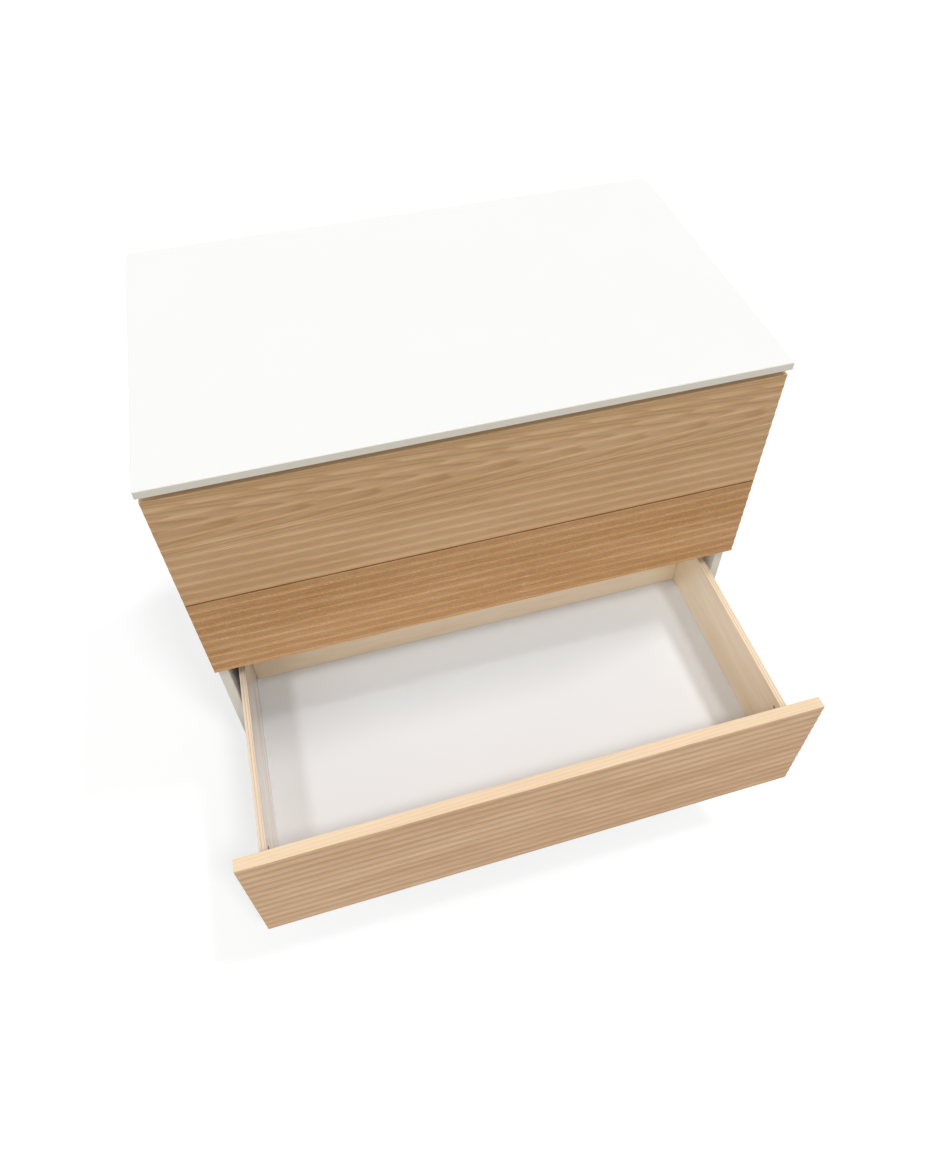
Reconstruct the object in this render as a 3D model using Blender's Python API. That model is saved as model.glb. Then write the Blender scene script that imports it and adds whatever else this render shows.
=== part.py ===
"""Chest of three drawers with rippled hardwood fronts, a white carcass and turned legs.

Metres, +Z up, front towards -Y. The origin lies on the floor, at the middle of the chest's
outline as it stands with the bottom drawer open.
"""

import math
from typing import NamedTuple

import bmesh
import bpy
from mathutils import Matrix, Vector


class Drawer(NamedTuple):
    """What sets one drawer apart from the others."""

    name: str
    front_height: float
    first_crest: float
    valley: float
    opening: float


# Fits
FIT = 0.0003                # gap between pieces that touch
RUN_GAP = 0.0004            # running gap between the lips of two slide members
OVERCUT = 0.002             # how far a cutter reaches past the face that it enters

# Top and carcass
CHEST_HEIGHT = 0.900
TOP_WIDTH = 1.000
TOP_THICKNESS = 0.015
TOP_SIDE_OVERHANG = 0.002
TOP_BACK_OVERHANG = 0.003
SIDE_THICKNESS = 0.018
BOTTOM_THICKNESS = 0.018
BACK_THICKNESS = 0.008
BACK_RECESS = 0.002         # how far the back panel lies inside the rear edges of the sides
BACK_REBATE_WIDTH = 0.009
RAIL_DEPTH = 0.090
PANEL_ARRIS = 0.001         # chamfer on the edges of the white panels
BACK_SPACE = 0.113          # room left behind the drawer boxes

# Fronts
UPPER_FRONT_HEIGHT = 0.2425
MIDDLE_FRONT_HEIGHT = 0.197
FRONT_THICKNESS = 0.021     # from the crests of the ripples to the flat rear face
FRONT_SETBACK = 0.006       # from the top's front edge back to the crests
FRONT_GAP = 0.003           # between one front and the next
FRONT_BUFFER = 0.001        # between a closed front and the carcass
TOP_GAP = 0.0135            # finger gap between the top and the first front
FRONT_ARRIS = 0.0012        # chamfer on the outer edges of the fronts
RIPPLE_PITCH = 0.0217
RIPPLE_DEPTH = 0.0011
RIPPLE_STEPS = 8            # facets of one ripple
EVEN_VALLEY = 0.5           # share of a ripple from its crest down to its valley
STEEP_VALLEY = 0.66         # the same where the flank below the valley is the steeper one
UPPER_FIRST_CREST = 0.0     # from the top of a front down to its first crest
MIDDLE_FIRST_CREST = 0.0007
LOWER_FIRST_CREST = 0.0066
LOWER_OPENING = 0.357       # how far the lower drawer stands open

# Drawer boxes
BOX_TOP_DROP = 0.0585       # from the top of the front down to the top of the box
BOX_BOTTOM_RISE = 0.048     # from the foot of the front up to the foot of the box
PLY_THICKNESS = 0.012
PLY_ARRIS = 0.0006
TRAY_THICKNESS = 0.008      # the white bottom of the drawer
TRAY_RISE = 0.012           # from the foot of the box up to the tray
GROOVE_DEPTH = 0.006

# Slides
SLIDE_LENGTH = 0.450        # also the drawer's full travel
SLIDE_HEIGHT = 0.045
SLIDE_WIDTH = 0.0127
SLIDE_SETBACK = 0.002       # from the carcass's front edge to the slide
SLIDE_RISE = 0.024          # from the foot of the box up to the slide
SLIDE_SHEET = 0.0012
SLIDE_WEB_GAP = 0.0006      # between the webs of two members
BALL_TRACK = 0.0030         # height of the ball space between two members
MIDDLE_SETBACK = 0.030      # by how much the middle member is shorter in front
LIP_HEIGHT = 0.003          # turned-in lip of the inner member
SLIDE_HOLES = 3
SLIDE_HOLE_RADIUS = 0.0024
SLIDE_HOLE_MARGIN = 0.035   # from the ends of a member to its outer screw holes

# Legs
LEG_SPACE = 0.150           # clear height under the carcass
LEG_INSET = 0.070           # from the carcass's outer faces to the leg's centre
LEG_TOP_RADIUS = 0.022
LEG_FOOT_RADIUS = 0.015
LEG_ROUNDING = 0.002
PLATE_SIZE = 0.066
PLATE_THICKNESS = 0.003
PLATE_CORNER = 0.008
PLATE_HOLE_INSET = 0.009    # from the plate's edges to its screw holes
PLATE_HOLE_RADIUS = 0.0024
PLATE_HOLE_FLARE = 0.0042   # radius of the countersink at the plate's lower face
BOLT_RADIUS = 0.004
BOLT_IN_LEG = 0.030
BOLT_IN_BOTTOM = 0.008
GLIDE_RADIUS = 0.012
GLIDE_HEIGHT = 0.004
GLIDE_PIN_RADIUS = 0.0025
GLIDE_PIN_LENGTH = 0.012

# Facets
ROUND_SEGMENTS = 24         # of a leg, a glide or a bolt
HOLE_SEGMENTS = 12
CORNER_SEGMENTS = 3         # of a corner of a leg plate
FOLD_SEGMENTS = 2           # of a fold in a slide member
ROUND_PROFILE = 0.5         # bevel shape of a true quarter circle
SHARP_ANGLE = math.radians(35)
CORNER_ANGLE = math.radians(60)

SIDES = (("left", -1), ("right", 1))
UP = (0, 0, 1)

# Heights, from the top down
CARCASS_TOP = CHEST_HEIGHT - TOP_THICKNESS
FIRST_FRONT_TOP = CARCASS_TOP - TOP_GAP
LOWER_FRONT_TOP = FIRST_FRONT_TOP - UPPER_FRONT_HEIGHT - MIDDLE_FRONT_HEIGHT - 2 * FRONT_GAP
LOWER_FRONT_HEIGHT = LOWER_FRONT_TOP - LEG_SPACE
RAIL_THICKNESS = TOP_GAP - 2 * FIT
RAIL_TOP = CARCASS_TOP - FIT
PLATE_FOOT = LEG_SPACE - FIT - PLATE_THICKNESS
LEG_HEAD = PLATE_FOOT - FIT
LEG_FOOT = GLIDE_HEIGHT + FIT
GLIDE_PIN_END = GLIDE_HEIGHT + GLIDE_PIN_LENGTH

DRAWERS = (
    Drawer("drawer_1", UPPER_FRONT_HEIGHT, UPPER_FIRST_CREST, STEEP_VALLEY, 0.0),
    Drawer("drawer_2", MIDDLE_FRONT_HEIGHT, MIDDLE_FIRST_CREST, STEEP_VALLEY, 0.0),
    Drawer("drawer_3", LOWER_FRONT_HEIGHT, LOWER_FIRST_CREST, EVEN_VALLEY, LOWER_OPENING),
)

# Depths, worked out from the front of the top to its back
FRONT_REAR = FRONT_SETBACK + FRONT_THICKNESS
CARCASS_FRONT = FRONT_REAR + FRONT_BUFFER
BOX_DEPTH = FRONT_BUFFER + SLIDE_SETBACK + SLIDE_LENGTH
BACK_FRONT = FRONT_REAR + BOX_DEPTH + BACK_SPACE
BACK_REAR = BACK_FRONT + BACK_THICKNESS
CARCASS_REAR = BACK_REAR + BACK_RECESS
TOP_DEPTH = CARCASS_REAR + TOP_BACK_OVERHANG
TOP_FRONT_Y = -(TOP_DEPTH + FRONT_SETBACK - LOWER_OPENING) / 2

# Widths, as half of the full width
CARCASS_HALF = TOP_WIDTH / 2 - TOP_SIDE_OVERHANG
BAY_HALF = CARCASS_HALF - SIDE_THICKNESS
BOX_HALF = BAY_HALF - SLIDE_WIDTH - 2 * FIT
BOX_INNER_HALF = BOX_HALF - PLY_THICKNESS
SLIDE_WALL = BAY_HALF - FIT


def clear_scene():
    """Remove every object that the file opens with."""
    for obj in list(bpy.data.objects):
        bpy.data.objects.remove(obj, do_unlink=True)


def make_material(name, colour, roughness, metallic=0.0):
    """Return a Principled material of one colour."""
    material = bpy.data.materials.new(name)
    material.use_nodes = True
    shader = material.node_tree.nodes["Principled BSDF"]
    shader.inputs["Base Color"].default_value = (*colour, 1.0)
    shader.inputs["Roughness"].default_value = roughness
    shader.inputs["Metallic"].default_value = metallic
    return material


def make_empty(name, location, parent=None):
    """Return an empty that carries a body's pieces."""
    empty = bpy.data.objects.new(name, None)
    bpy.context.scene.collection.objects.link(empty)
    empty.location = location
    empty.parent = parent
    return empty


def make_object(name, bm, material, parent, location=(0.0, 0.0, 0.0)):
    """Turn a bmesh into a named object on its parent."""
    mesh = bpy.data.meshes.new(name)
    bmesh.ops.recalc_face_normals(bm, faces=bm.faces)
    bm.to_mesh(mesh)
    bm.free()
    obj = bpy.data.objects.new(name, mesh)
    bpy.context.scene.collection.objects.link(obj)
    obj.parent = parent
    obj.location = location
    if material:
        mesh.materials.append(material)
    return obj


def make_cutter(name, bm, parent):
    """Turn a bmesh into a hidden guide that booleans cut with."""
    cutter = make_object(name, bm, None, parent)
    cutter.display_type = "WIRE"
    cutter.hide_render = True
    return cutter


def cut(target, *cutters):
    """Take the cutters away from the target."""
    for cutter in cutters:
        modifier = target.modifiers.new(cutter.name, "BOOLEAN")
        modifier.operation = "DIFFERENCE"
        modifier.solver = "EXACT"
        modifier.object = cutter


def smooth(obj):
    """Shade a round piece smooth, with its real edges kept sharp."""
    obj.data.shade_smooth()
    obj.data.set_sharp_from_angle(angle=SHARP_ANGLE)


def round_edges(bm, edges, radius, segments):
    """Round some edges of a bmesh."""
    bmesh.ops.bevel(
        bm, geom=edges, offset=radius, segments=segments, profile=ROUND_PROFILE, affect="EDGES",
    )


def add_block(bm, low, high):
    """Add a block between two corners."""
    low = Vector(low)
    high = Vector(high)
    place = Matrix.Translation((low + high) / 2) @ Matrix.Diagonal((*(high - low), 1.0))
    bmesh.ops.create_cube(bm, size=1.0, matrix=place)


def make_panel(name, low, high, material, parent, arris):
    """Make a board between two corners, with its edges chamfered."""
    middle = (Vector(low) + Vector(high)) / 2
    bm = bmesh.new()
    add_block(bm, Vector(low) - middle, Vector(high) - middle)
    panel = make_object(name, bm, material, parent, middle)
    bevel = panel.modifiers.new("arris", "BEVEL")
    bevel.width = arris
    bevel.segments = 1
    return panel


def extrude_outline(outline, span, axis):
    """Return a bmesh of a closed outline of 3-D points, extruded by a span along an axis."""
    bm = bmesh.new()
    face = bm.faces.new([bm.verts.new(point) for point in outline])
    moved = bmesh.ops.extrude_face_region(bm, geom=[face])
    verts = [item for item in moved["geom"] if isinstance(item, bmesh.types.BMVert)]
    bmesh.ops.translate(bm, verts=verts, vec=Vector(axis) * span)
    return bm


def add_turned(bm, profile, place, direction, segments):
    """Add a solid of revolution.

    The profile is a row of (radius, height) pairs from one pole to the other, with heights
    measured from the place along the direction.
    """
    turned = bmesh.new()
    verts = [turned.verts.new((radius, 0.0, height)) for radius, height in profile]
    edges = [turned.edges.new(pair) for pair in zip(verts, verts[1:])]
    bmesh.ops.spin(
        turned,
        geom=verts + edges,
        cent=(0.0, 0.0, 0.0),
        axis=(0.0, 0.0, 1.0),
        angle=math.tau,
        steps=segments,
    )
    bmesh.ops.remove_doubles(turned, verts=turned.verts, dist=1e-6)
    turn = Vector((0.0, 0.0, 1.0)).rotation_difference(Vector(direction)).to_matrix().to_4x4()
    bmesh.ops.transform(turned, matrix=Matrix.Translation(place) @ turn, verts=turned.verts)
    mesh = bpy.data.meshes.new("turned")
    turned.to_mesh(mesh)
    turned.free()
    bm.from_mesh(mesh)
    bpy.data.meshes.remove(mesh)


def pin_profile(radius, start, end):
    """Return the profile of a plain cylinder."""
    return ((0.0, start), (radius, start), (radius, end), (0.0, end))


def make_drill(name, profile, places, direction, parent):
    """Make one cutter of equal holes, all in one direction."""
    bm = bmesh.new()
    for place in places:
        add_turned(bm, profile, place, direction, HOLE_SEGMENTS)
    return make_cutter(name, bm, parent)


def spread(count, low, high):
    """Return evenly spaced values, the ends included."""
    step = (high - low) / (count - 1)
    return [low + step * index for index in range(count)]


def depth(distance):
    """Return the Y of a distance behind the top's front edge."""
    return TOP_FRONT_Y + distance


def ripple(drop, first_crest, valley):
    """Return how far the front's surface lies behind its crests, at a drop from its top."""
    share = (drop - first_crest) / RIPPLE_PITCH % 1.0
    if share < valley:
        turn = share / valley
    else:
        turn = (1.0 - share) / (1.0 - valley)
    return RIPPLE_DEPTH * (1.0 - math.cos(math.pi * turn)) / 2.0


def make_carcass(materials, carcass):
    """Make the white panels and the two flat rails under the top. Return the bottom panel."""
    white = materials["white"]
    half = TOP_WIDTH / 2
    make_panel(
        "top_panel",
        (-half, depth(0.0), CARCASS_TOP),
        (half, depth(TOP_DEPTH), CARCASS_TOP + TOP_THICKNESS),
        white, carcass, PANEL_ARRIS,
    )
    between = BAY_HALF - FIT
    rails = {
        "front_top_rail": CARCASS_FRONT,
        "rear_top_rail": BACK_FRONT - FIT - RAIL_DEPTH,
    }
    for name, start in rails.items():
        make_panel(
            name,
            (-between, depth(start), RAIL_TOP - RAIL_THICKNESS),
            (between, depth(start + RAIL_DEPTH), RAIL_TOP),
            white, carcass, PANEL_ARRIS,
        )
    for side, sign in SIDES:
        make_side(side, sign, white, carcass)
    rebate_half = BAY_HALF + BACK_REBATE_WIDTH - FIT
    make_panel(
        "back_panel",
        (-rebate_half, depth(BACK_FRONT), LEG_SPACE),
        (rebate_half, depth(BACK_REAR), RAIL_TOP),
        white, carcass, PLY_ARRIS,
    )
    return make_panel(
        "bottom_panel",
        (-between, depth(CARCASS_FRONT), LEG_SPACE),
        (between, depth(BACK_FRONT - FIT), LEG_SPACE + BOTTOM_THICKNESS),
        white, carcass, PANEL_ARRIS,
    )


def make_side(side, sign, material, carcass):
    """Make one side panel of the carcass, rebated at the rear for the back panel."""
    faces = sorted((sign * BAY_HALF, sign * CARCASS_HALF))
    panel = make_panel(
        f"{side}_side_panel",
        (faces[0], depth(CARCASS_FRONT), LEG_SPACE),
        (faces[1], depth(CARCASS_REAR), CARCASS_TOP - FIT),
        material, carcass, PANEL_ARRIS,
    )
    reach = sorted((sign * (BAY_HALF - OVERCUT), sign * (BAY_HALF + BACK_REBATE_WIDTH)))
    bm = bmesh.new()
    add_block(
        bm,
        (reach[0], depth(BACK_FRONT - FIT), LEG_SPACE - OVERCUT),
        (reach[1], depth(CARCASS_REAR + OVERCUT), CARCASS_TOP + OVERCUT),
    )
    cut(panel, make_cutter(f"{side}_rebate", bm, carcass))


def leg_profile():
    """Return the outline of a leg, tapered towards the floor and rounded at both ends."""
    return (
        (0.0, LEG_FOOT),
        (LEG_FOOT_RADIUS - LEG_ROUNDING, LEG_FOOT),
        (LEG_FOOT_RADIUS, LEG_FOOT + LEG_ROUNDING),
        (LEG_TOP_RADIUS, LEG_HEAD - LEG_ROUNDING),
        (LEG_TOP_RADIUS - LEG_ROUNDING, LEG_HEAD),
        (0.0, LEG_HEAD),
    )


def glide_profile():
    """Return the outline of a glide: a disc with a pin that goes up into the leg."""
    return (
        (0.0, 0.0),
        (GLIDE_RADIUS - GLIDE_HEIGHT / 2, 0.0),
        (GLIDE_RADIUS, GLIDE_HEIGHT / 2),
        (GLIDE_RADIUS, GLIDE_HEIGHT),
        (GLIDE_PIN_RADIUS, GLIDE_HEIGHT),
        (GLIDE_PIN_RADIUS, GLIDE_PIN_END),
        (0.0, GLIDE_PIN_END),
    )


def make_turned(name, profile, place, material, carcass):
    """Make one turned piece that stands upright."""
    bm = bmesh.new()
    add_turned(bm, profile, (0.0, 0.0, 0.0), UP, ROUND_SEGMENTS)
    piece = make_object(name, bm, material, carcass, place)
    smooth(piece)
    return piece


def make_plate(name, place, material, carcass):
    """Make one leg plate with rounded corners and countersunk screw holes."""
    half = PLATE_SIZE / 2
    bm = bmesh.new()
    add_block(bm, (-half, -half, 0.0), (half, half, PLATE_THICKNESS))
    upright = [edge for edge in bm.edges if abs(edge.verts[0].co.z - edge.verts[1].co.z) > FIT]
    round_edges(bm, upright, PLATE_CORNER, CORNER_SEGMENTS)
    plate = make_object(name, bm, material, carcass, place)
    corner = half - PLATE_HOLE_INSET
    flare = PLATE_HOLE_FLARE - PLATE_HOLE_RADIUS
    profile = (
        (0.0, -flare),
        (PLATE_HOLE_FLARE + flare, -flare),
        (PLATE_HOLE_RADIUS, flare),
        (PLATE_HOLE_RADIUS, PLATE_THICKNESS + OVERCUT),
        (0.0, PLATE_THICKNESS + OVERCUT),
    )
    spots = [(x, y, 0.0) for x in (-corner, corner) for y in (-corner, corner)]
    cut(plate, make_drill(f"{name}_screw_holes", profile, spots, UP, plate))
    return plate


def make_legs(materials, carcass, bottom):
    """Make the four legs, each with its plate, the bolt between them and a glide."""
    across = CARCASS_HALF - LEG_INSET
    front = depth(CARCASS_FRONT + LEG_INSET)
    rear = depth(CARCASS_REAR - LEG_INSET)
    spots = {
        "front_left": (-across, front, 0.0),
        "front_right": (across, front, 0.0),
        "rear_left": (-across, rear, 0.0),
        "rear_right": (across, rear, 0.0),
    }
    bolt = pin_profile(BOLT_RADIUS, LEG_HEAD - BOLT_IN_LEG, LEG_SPACE + BOLT_IN_BOTTOM)
    bolt_hole = pin_profile(
        BOLT_RADIUS + FIT, LEG_HEAD - BOLT_IN_LEG - FIT, LEG_SPACE + BOLT_IN_BOTTOM + FIT,
    )
    pin_hole = pin_profile(GLIDE_PIN_RADIUS + FIT, LEG_FOOT - OVERCUT, GLIDE_PIN_END + FIT)
    bolt_drill = make_drill("leg_bolt_holes", bolt_hole, spots.values(), UP, carcass)
    pin_drill = make_drill("glide_pin_holes", pin_hole, spots.values(), UP, carcass)
    cut(bottom, bolt_drill)
    for name, place in spots.items():
        leg = make_turned(f"{name}_leg", leg_profile(), place, materials["leg"], carcass)
        cut(leg, bolt_drill, pin_drill)
        plate_place = (place[0], place[1], PLATE_FOOT)
        cut(make_plate(f"{name}_leg_plate", plate_place, materials["zinc"], carcass), bolt_drill)
        make_turned(f"{name}_leg_bolt", bolt, place, materials["zinc"], carcass)
        make_turned(f"{name}_leg_glide", glide_profile(), place, materials["glide"], carcass)


def channel_outline(web, mouth, half, lip_end):
    """Return the outline of a folded channel across a slide.

    Points are (reach, height) pairs: reach is measured from the carcass side towards the drawer,
    height from the slide's middle. The lips at the mouth are turned in until lip_end.
    """
    fold = math.copysign(SLIDE_SHEET, mouth - web)
    inside = half - SLIDE_SHEET
    upper = [
        (web + fold, inside),
        (mouth - fold, inside),
        (mouth - fold, lip_end),
        (mouth, lip_end),
        (mouth, half),
        (web, half),
    ]
    lower = [(reach, -height) for reach, height in reversed(upper)]
    return upper + lower


def make_channel(name, outline, start, length, sign, height, parent, material):
    """Make one slide member from its outline, with the outer folds rounded."""
    points = [(sign * (SLIDE_WALL - reach), start, height + rise) for reach, rise in outline]
    bm = extrude_outline(points, length, (0, 1, 0))
    crown = max(rise for _, rise in outline)
    folds = [
        edge for edge in bm.edges
        if abs(edge.verts[0].co.y - edge.verts[1].co.y) > length / 2
        and abs(abs(edge.verts[0].co.z - height) - crown) < FIT / 2
    ]
    round_edges(bm, folds, SLIDE_SHEET, FOLD_SEGMENTS)
    return make_object(name, bm, material, parent)


def drill_web(member, reach, start, sign, height, parent):
    """Drill the row of screw holes through the web of a slide member."""
    hole = pin_profile(SLIDE_HOLE_RADIUS, -SLIDE_WEB_GAP, SLIDE_SHEET + SLIDE_WEB_GAP)
    row = spread(SLIDE_HOLES, start + SLIDE_HOLE_MARGIN, start + SLIDE_LENGTH - SLIDE_HOLE_MARGIN)
    places = [(sign * (SLIDE_WALL - reach), y, height) for y in row]
    cut(member, make_drill(f"{member.name}_holes", hole, places, (-sign, 0, 0), parent))


def make_slides(drawer, slide_z, carcass, middle, body, steel):
    """Make both telescopic slides of a drawer: outer, middle and inner members."""
    outer_half = SLIDE_HEIGHT / 2
    middle_half = outer_half - SLIDE_SHEET - BALL_TRACK
    inner_half = middle_half - SLIDE_SHEET - BALL_TRACK
    middle_web = SLIDE_SHEET + SLIDE_WEB_GAP
    middle_mouth = SLIDE_WIDTH - SLIDE_SHEET - SLIDE_WEB_GAP
    outer_mouth = middle_mouth - SLIDE_SHEET
    inner_toe = middle_web + SLIDE_SHEET + 2 * SLIDE_WEB_GAP
    outer = channel_outline(0.0, outer_mouth, outer_half, middle_half + RUN_GAP)
    inner = channel_outline(SLIDE_WIDTH, inner_toe, inner_half, inner_half - SLIDE_SHEET - LIP_HEIGHT)
    between = channel_outline(middle_web, middle_mouth, middle_half, inner_half + RUN_GAP)
    carcass_start = depth(CARCASS_FRONT + SLIDE_SETBACK)
    drawer_start = FRONT_BUFFER + SLIDE_SETBACK
    middle_start = drawer_start + MIDDLE_SETBACK
    middle_length = SLIDE_LENGTH - MIDDLE_SETBACK
    for side, sign in SIDES:
        name = f"{drawer.name}_{side}_slide"
        fixed = make_channel(
            f"{name}_outer", outer, carcass_start, SLIDE_LENGTH, sign, slide_z, carcass, steel,
        )
        drill_web(fixed, 0.0, carcass_start, sign, slide_z, carcass)
        make_channel(f"{name}_middle", between, middle_start, middle_length, sign, 0.0, middle, steel)
        moving = make_channel(f"{name}_inner", inner, drawer_start, SLIDE_LENGTH, sign, 0.0, body, steel)
        drill_web(moving, SLIDE_WIDTH - SLIDE_SHEET, drawer_start, sign, 0.0, body)


def ripple_drops(height, first_crest):
    """Return the drops from a front's top at which its ripple profile has a point.

    The points keep clear of the chamfered edges.
    """
    step = RIPPLE_PITCH / RIPPLE_STEPS
    margin = 2 * FRONT_ARRIS
    first = math.ceil((margin - first_crest) / step)
    last = math.floor((height - margin - first_crest) / step)
    return [0.0] + [first_crest + step * index for index in range(first, last + 1)] + [height]


def make_front(drawer, top, body, material):
    """Make a drawer front: the ripple profile, run across the full width of the carcass."""
    drops = ripple_drops(drawer.front_height, drawer.first_crest)
    hollows = [ripple(drop, drawer.first_crest, drawer.valley) for drop in drops]
    face = [(hollow - FRONT_THICKNESS, top - drop) for hollow, drop in zip(hollows, drops)]
    rear = [(0.0, top - drawer.front_height), (0.0, top)]
    outline = [(-CARCASS_HALF, y, z) for y, z in face + rear]
    bm = extrude_outline(outline, 2 * CARCASS_HALF, (1, 0, 0))
    front = make_object(f"{drawer.name}_front", bm, material, body)
    bevel = front.modifiers.new("arris", "BEVEL")
    bevel.width = FRONT_ARRIS
    bevel.segments = 1
    bevel.limit_method = "ANGLE"
    bevel.angle_limit = CORNER_ANGLE
    return front


def make_drawer(drawer, front_top, carcass, materials):
    """Make one drawer and its slides.

    A drawer's own frame starts at the rear face of its front, at the height of its slides.
    """
    box_foot_z = front_top - drawer.front_height + BOX_BOTTOM_RISE
    slide_z = box_foot_z + SLIDE_RISE + SLIDE_HEIGHT / 2
    closed_y = depth(FRONT_REAR)
    body = make_empty(f"{drawer.name}_frame", (0.0, closed_y - drawer.opening, slide_z), carcass)
    middle_y = closed_y - drawer.opening / 2
    middle = make_empty(f"{drawer.name}_middle_frame", (0.0, middle_y, slide_z), carcass)

    top = front_top - slide_z
    box_top = top - BOX_TOP_DROP
    box_foot = box_foot_z - slide_z
    tray_low = box_foot + TRAY_RISE
    tray_high = tray_low + TRAY_THICKNESS
    tray_half = BOX_INNER_HALF + GROOVE_DEPTH
    tray_rear = BOX_DEPTH - PLY_THICKNESS + GROOVE_DEPTH
    birch = materials["birch"]

    boards = [make_front(drawer, top, body, materials[drawer.name])]
    for side, sign in SIDES:
        faces = sorted((sign * BOX_INNER_HALF, sign * BOX_HALF))
        low = (faces[0], FIT, box_foot)
        high = (faces[1], BOX_DEPTH, box_top)
        boards.append(make_panel(f"{drawer.name}_{side}_side", low, high, birch, body, PLY_ARRIS))
    back_half = BOX_INNER_HALF - FIT
    boards.append(make_panel(
        f"{drawer.name}_back",
        (-back_half, BOX_DEPTH - PLY_THICKNESS, box_foot),
        (back_half, BOX_DEPTH, box_top),
        birch, body, PLY_ARRIS,
    ))
    make_panel(
        f"{drawer.name}_bottom",
        (-tray_half + FIT, -GROOVE_DEPTH + FIT, tray_low),
        (tray_half - FIT, tray_rear - FIT, tray_high),
        materials["tray"], body, PLY_ARRIS,
    )
    bm = bmesh.new()
    add_block(bm, (-tray_half, -GROOVE_DEPTH, tray_low - FIT), (tray_half, tray_rear, tray_high + FIT))
    groove = make_cutter(f"{drawer.name}_bottom_groove", bm, body)
    for board in boards:
        cut(board, groove)
    make_slides(drawer, slide_z, carcass, middle, body, materials["zinc"])


def make_materials():
    """Return the chest's materials by the name of what they cover."""
    return {
        "white": make_material("white_lacquer", (0.90, 0.90, 0.88), 0.38),
        "tray": make_material("white_melamine", (0.88, 0.88, 0.87), 0.45),
        "birch": make_material("birch_plywood", (0.76, 0.62, 0.45), 0.50),
        "leg": make_material("turned_hardwood", (0.54, 0.35, 0.20), 0.48),
        "drawer_1": make_material("hardwood_front_upper", (0.47, 0.30, 0.16), 0.50),
        "drawer_2": make_material("hardwood_front_middle", (0.47, 0.28, 0.15), 0.50),
        "drawer_3": make_material("hardwood_front_lower", (0.56, 0.36, 0.22), 0.50),
        "zinc": make_material("zinc_plated_steel", (0.62, 0.63, 0.65), 0.35, 1.0),
        "glide": make_material("nylon_glide", (0.16, 0.15, 0.14), 0.60),
    }


def main():
    """Build the chest: the carcass, its legs, then each drawer from the top down."""
    clear_scene()
    materials = make_materials()
    carcass = make_empty("carcass_frame", (0.0, 0.0, 0.0))
    bottom = make_carcass(materials, carcass)
    make_legs(materials, carcass, bottom)
    front_top = FIRST_FRONT_TOP
    for drawer in DRAWERS:
        make_drawer(drawer, front_top, carcass, materials)
        front_top -= drawer.front_height + FRONT_GAP


main()
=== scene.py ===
"""Looks of a chest of three drawers: white lacquered carcass, rippled hardwood fronts.

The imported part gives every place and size. This script gives each surface its finish, mills the
fronts with their full ripples, turns the legs, sets the small fasteners, and puts the chest in a
plain studio in front of the photograph's camera. Metres, +Z up, fronts towards -Y.
"""

import logging
import math
from collections.abc import Sequence
from dataclasses import dataclass
from enum import Enum
from typing import Any

import bmesh
import bpy
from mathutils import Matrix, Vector


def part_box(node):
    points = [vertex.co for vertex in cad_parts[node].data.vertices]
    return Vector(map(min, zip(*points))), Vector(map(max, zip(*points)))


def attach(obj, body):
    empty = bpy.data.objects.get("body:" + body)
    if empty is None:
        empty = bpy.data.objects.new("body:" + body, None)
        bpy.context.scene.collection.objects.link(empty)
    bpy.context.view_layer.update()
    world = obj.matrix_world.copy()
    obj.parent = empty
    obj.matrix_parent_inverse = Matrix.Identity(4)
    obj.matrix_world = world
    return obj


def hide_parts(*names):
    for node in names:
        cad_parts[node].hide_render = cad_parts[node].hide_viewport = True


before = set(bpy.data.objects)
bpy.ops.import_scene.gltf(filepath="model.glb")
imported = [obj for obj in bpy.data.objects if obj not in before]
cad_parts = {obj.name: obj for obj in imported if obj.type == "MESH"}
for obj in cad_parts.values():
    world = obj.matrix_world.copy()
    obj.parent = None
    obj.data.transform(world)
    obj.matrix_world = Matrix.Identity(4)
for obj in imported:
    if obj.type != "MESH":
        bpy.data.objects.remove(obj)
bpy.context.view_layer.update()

LOG = logging.getLogger("chest")
MM = 0.001
PHOTO_WIDTH = 938
PHOTO_HEIGHT = 1172
WHITE = "#FFFFFF"

Colour = tuple[float, float, float, float]
Pair = tuple[float, float]
Point = tuple[float, float, float]
Spot = tuple[Vector, Vector]
Profile = list[Pair]

# Socket places on Blender's Mix node when it mixes colours, and on its Map Range node
MIX_A, MIX_B, MIX_RESULT = 6, 7, 2
FROM_MIN, FROM_MAX, TO_MIN, TO_MAX = 1, 2, 3, 4

# Blender's Wave texture draws 20 radians of wave in each unit
WAVE_LENGTH = math.tau / 20

# Nearly all of a noise texture lies in this span
NOISE_SPAN = (0.3, 0.7)

# A face looks along an axis where more than this part of its normal does
FACING = 0.5

# Strength of the bump that gives a surface its fine relief
RELIEF = 0.5

# Gap under a fastener's head, so that it never lies in the same plane as its board
SEAT = 0.02 * MM

# Screws of each slide member, and the way from its ends to the outer ones
SLIDE_SCREWS = 3
SLIDE_SCREW_MARGIN = 0.035

SHARP_ANGLE = math.radians(35)
CORNER_ANGLE = math.radians(60)


class Axis(Enum):
    """The direction across a board's layers."""

    X = 0
    Y = 1


class Side(Enum):
    """The two ends of the chest, with their signs along X."""

    LEFT = -1
    RIGHT = 1


class Head(Enum):
    """Shapes of fastener heads: radius at the seat, radius outside, height and slot width in mm."""

    COUNTERSUNK = (2.3, 3.8, 1.5, 0.9)
    PAN = (4.0, 3.2, 1.5, 0.9)
    SLIDE = (2.2, 2.1, 0.9, 0.6)
    CORNER = (3.4, 3.1, 0.4, 0.8)
    BARREL = (3.2, 2.9, 0.5, 1.3)


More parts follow.
